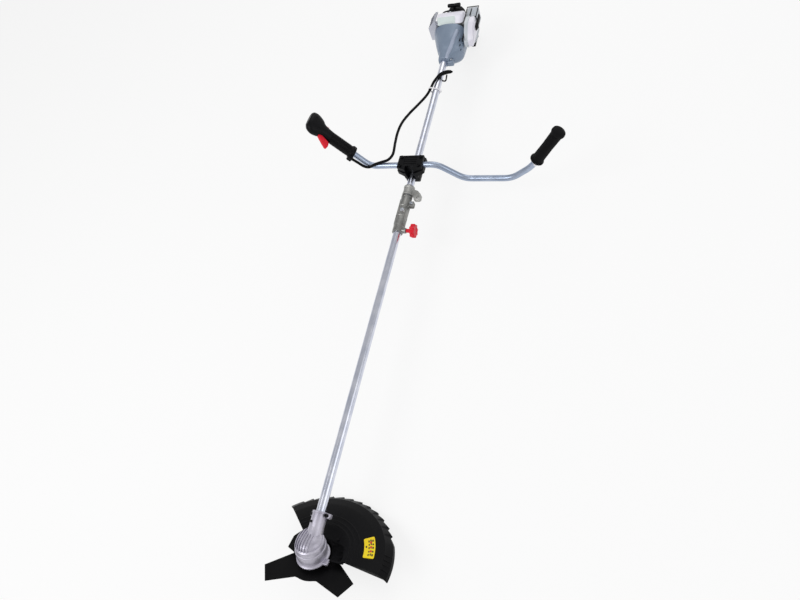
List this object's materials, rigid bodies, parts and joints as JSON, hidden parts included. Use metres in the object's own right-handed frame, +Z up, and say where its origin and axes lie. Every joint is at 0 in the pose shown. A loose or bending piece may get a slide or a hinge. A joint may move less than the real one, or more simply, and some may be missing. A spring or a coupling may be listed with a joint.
{
  "type": "brush cutter",
  "caption": "Petrol brush cutter with a split shaft, bull handlebar, fan-shaped guard and toothed blade, lying on its guard and engine stand.",
  "frame": {"origin": "centre of the footprint, on the floor the machine lies on", "axes": "+Y along the shaft from the gear head to the engine, +X to the operator's left, +Z up"},
  "size_m": [0.7712, 2.005, 0.3809],
  "materials": {
    "black_plastic": "moulded black nylon, fine grain",
    "rubber": "soft black rubber",
    "red_plastic": "moulded red plastic",
    "white_plastic": "moulded white plastic",
    "housing_paint": "blue-grey paint on cast alloy",
    "bright_alloy": "drawn tube, clear anodised",
    "cast_alloy": "die cast, tumbled",
    "steel": "zinc plated or ground",
    "blade_coating": "black paint on spring steel",
    "tank_plastic": "blow-moulded, milky"
  },
  "bodies": {
    "engine_unit": {"upper_tube": "bright_alloy", "coupler_body": "cast_alloy", "coupler_bolt": "steel", "harness_bracket": "cast_alloy", "clamp_lower": "black_plastic", "clamp_middle": "black_plastic", "clamp_cap": "black_plastic", "clamp_bolt_1": "steel", "clamp_bolt_2": "steel", "clamp_bolt_3": "steel", "clamp_bolt_4": "steel", "handlebar": "bright_alloy", "rubber_grip": "rubber", "throttle_grip_left": "black_plastic", "throttle_grip_right": "black_plastic", "cable_sleeve": "rubber", "throttle_cable": "rubber", "zip_tie": "white_plastic", "clutch_housing": "housing_paint", "crankcase": "cast_alloy", "cylinder": "cast_alloy", "spark_plug": "steel", "cylinder_cowl": "white_plastic", "muffler": "steel", "muffler_guard": "bright_alloy", "carburettor": "cast_alloy", "air_filter_case": "white_plastic", "air_filter_cover": "white_plastic", "ignition_coil": "black_plastic", "plug_cap": "rubber", "recoil_housing": "black_plastic", "starter_rope": "rubber", "fuel_tank": "tank_plastic", "engine_stand": "black_plastic"},
    "lower_unit": {"lower_tube": "bright_alloy", "gear_case": "cast_alloy", "gear_case_bolt": "steel", "guard": "black_plastic"},
    "blade_spindle": {"output_shaft": "steel", "bevel_gear": "steel", "blade": "blade_coating", "blade_flange": "steel", "blade_nut": "steel"},
    "lower_drive": {"lower_drive_shaft": "steel", "pinion": "steel"},
    "upper_drive": {"upper_drive_shaft": "steel", "clutch_drum": "steel"},
    "crank": {"crankshaft": "steel", "flywheel": "bright_alloy", "clutch_shoes": "steel"},
    "throttle_trigger": {"throttle_trigger": "red_plastic"},
    "throttle_arm": {"throttle_arm": "steel"},
    "stop_switch": {"stop_switch": "red_plastic"},
    "coupler_knob": {"coupler_knob": "red_plastic"},
    "coupler_pin": {"coupler_pin": "steel"},
    "starter_handle": {"starter_handle": "black_plastic"},
    "choke_lever": {"choke_lever": "black_plastic"},
    "primer_bulb": {"primer_bulb": "red_plastic"},
    "fuel_cap": {"fuel_cap": "black_plastic"},
    "filter_latch": {"filter_latch": "black_plastic"}
  },
  "joints": [
    {"name": "lower_unit_slide", "type": "slide", "parent": "engine_unit", "child": "lower_unit", "axis": [0, -1, 0], "range_m": [0, 0.07]},
    {"name": "blade_spin", "type": "hinge", "parent": "lower_unit", "child": "blade_spindle", "pos_m": [-0.09306, -0.90347, 0.14849], "axis": [0, 0.5299, 0.848], "continuous": true},
    {"name": "lower_drive_spin", "type": "hinge", "parent": "lower_unit", "child": "lower_drive", "pos_m": [-0.09306, -0.40347, 0.14849], "axis": [0, 1, 0], "continuous": true},
    {"name": "upper_drive_spin", "type": "hinge", "parent": "engine_unit", "child": "upper_drive", "pos_m": [-0.09306, 0.39653, 0.14849], "axis": [0, 1, 0], "continuous": true},
    {"name": "crank_spin", "type": "hinge", "parent": "engine_unit", "child": "crank", "pos_m": [-0.09306, 0.85653, 0.14849], "axis": [0, 1, 0], "continuous": true},
    {"name": "trigger_pull", "type": "hinge", "parent": "engine_unit", "child": "throttle_trigger", "pos_m": [-0.3465, 0.22871, 0.33561], "axis": [0.809, 0.0512, 0.5855], "range_deg": [0, 15], "stiffness_Nm_per_rad": 0.3, "springref_deg": -11.46},
    {"name": "throttle_arm_turn", "type": "hinge", "parent": "engine_unit", "child": "throttle_arm", "pos_m": [-0.03106, 0.85753, 0.17049], "axis": [0, 0, 1], "range_deg": [0, 56]},
    {"name": "stop_switch_slide", "type": "slide", "parent": "engine_unit", "child": "stop_switch", "axis": [-0.5878, 0.0705, 0.8059], "range_m": [0, 0.007]},
    {"name": "knob_turn", "type": "hinge", "parent": "engine_unit", "child": "coupler_knob", "pos_m": [-0.05306, 0.00753, 0.14849], "axis": [1, 0, 0], "range_deg": [0, 180]},
    {"name": "pin_pull", "type": "slide", "parent": "engine_unit", "child": "coupler_pin", "axis": [0, 0, 1], "range_m": [0, 0.006], "stiffness_N_per_m": 400, "springref_m": -0.004},
    {"name": "starter_pull", "type": "slide", "parent": "engine_unit", "child": "starter_handle", "axis": [0, 0, 1], "range_m": [0, 0.4], "stiffness_N_per_m": 20, "springref_m": -0.4, "deforming": ["starter_rope"]},
    {"name": "choke_turn", "type": "hinge", "parent": "engine_unit", "child": "choke_lever", "pos_m": [-0.02806, 0.78653, 0.18849], "axis": [1, 0, 0], "range_deg": [0, 75]},
    {"name": "primer_press", "type": "slide", "parent": "engine_unit", "child": "primer_bulb", "axis": [0, 0, 1], "range_m": [0, 0.003], "stiffness_N_per_m": 300, "springref_m": -0.002},
    {"name": "fuel_cap_turn", "type": "hinge", "parent": "engine_unit", "child": "fuel_cap", "pos_m": [-0.11306, 0.99153, 0.06749], "axis": [0, 1, 0], "range_deg": [0, 180]},
    {"name": "latch_turn", "type": "hinge", "parent": "engine_unit", "child": "filter_latch", "pos_m": [0.00694, 0.83053, 0.18149], "axis": [1, 0, 0], "range_deg": [0, 90]}
  ],
  "couplings": [
    {"joint": "lower_drive_spin", "follows": "blade_spin", "ratio": 1.3571},
    {"joint": "upper_drive_spin", "follows": "blade_spin", "ratio": 1.3571},
    {"joint": "throttle_arm_turn", "follows": "trigger_pull", "ratio": 3.6}
  ]
}
